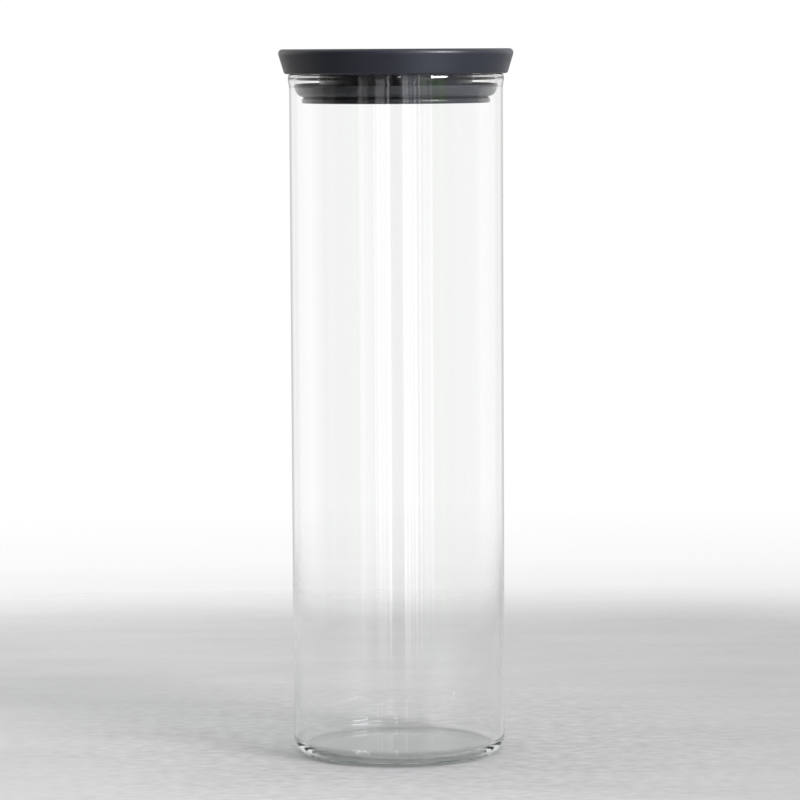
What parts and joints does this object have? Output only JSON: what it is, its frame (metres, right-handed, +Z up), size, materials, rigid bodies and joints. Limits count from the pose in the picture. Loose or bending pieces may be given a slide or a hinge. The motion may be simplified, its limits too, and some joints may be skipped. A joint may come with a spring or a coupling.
{
  "type": "glass storage container",
  "caption": "Tall straight clear glass storage jar with a rounded base and bulged rim, closed by a push-in plastic lid with a silicone lip seal and a stacking recess on top.",
  "frame": {"origin": "middle of the plane that the jar stands on", "axes": "+Z up along the jar's axis; the jar is round, so +X and +Y are any two level directions at a right angle"},
  "size_m": [0.1044, 0.1044, 0.315],
  "materials": {
    "clear_glass": "clear, fire-polished",
    "cap_plastic": "fine matte moulded texture",
    "plug_plastic": "satin moulded",
    "seal_silicone": "satin silicone"
  },
  "bodies": {
    "jar": {"glass_jar": "clear_glass"},
    "lid": {"lid_cap": "cap_plastic", "lid_plug": "plug_plastic", "seal_ring": "seal_silicone"}
  },
  "joints": [
    {"name": "lid_lift", "type": "slide", "parent": "jar", "child": "lid", "axis": [0, 0, 1], "range_m": [0, 0.06]}
  ]
}
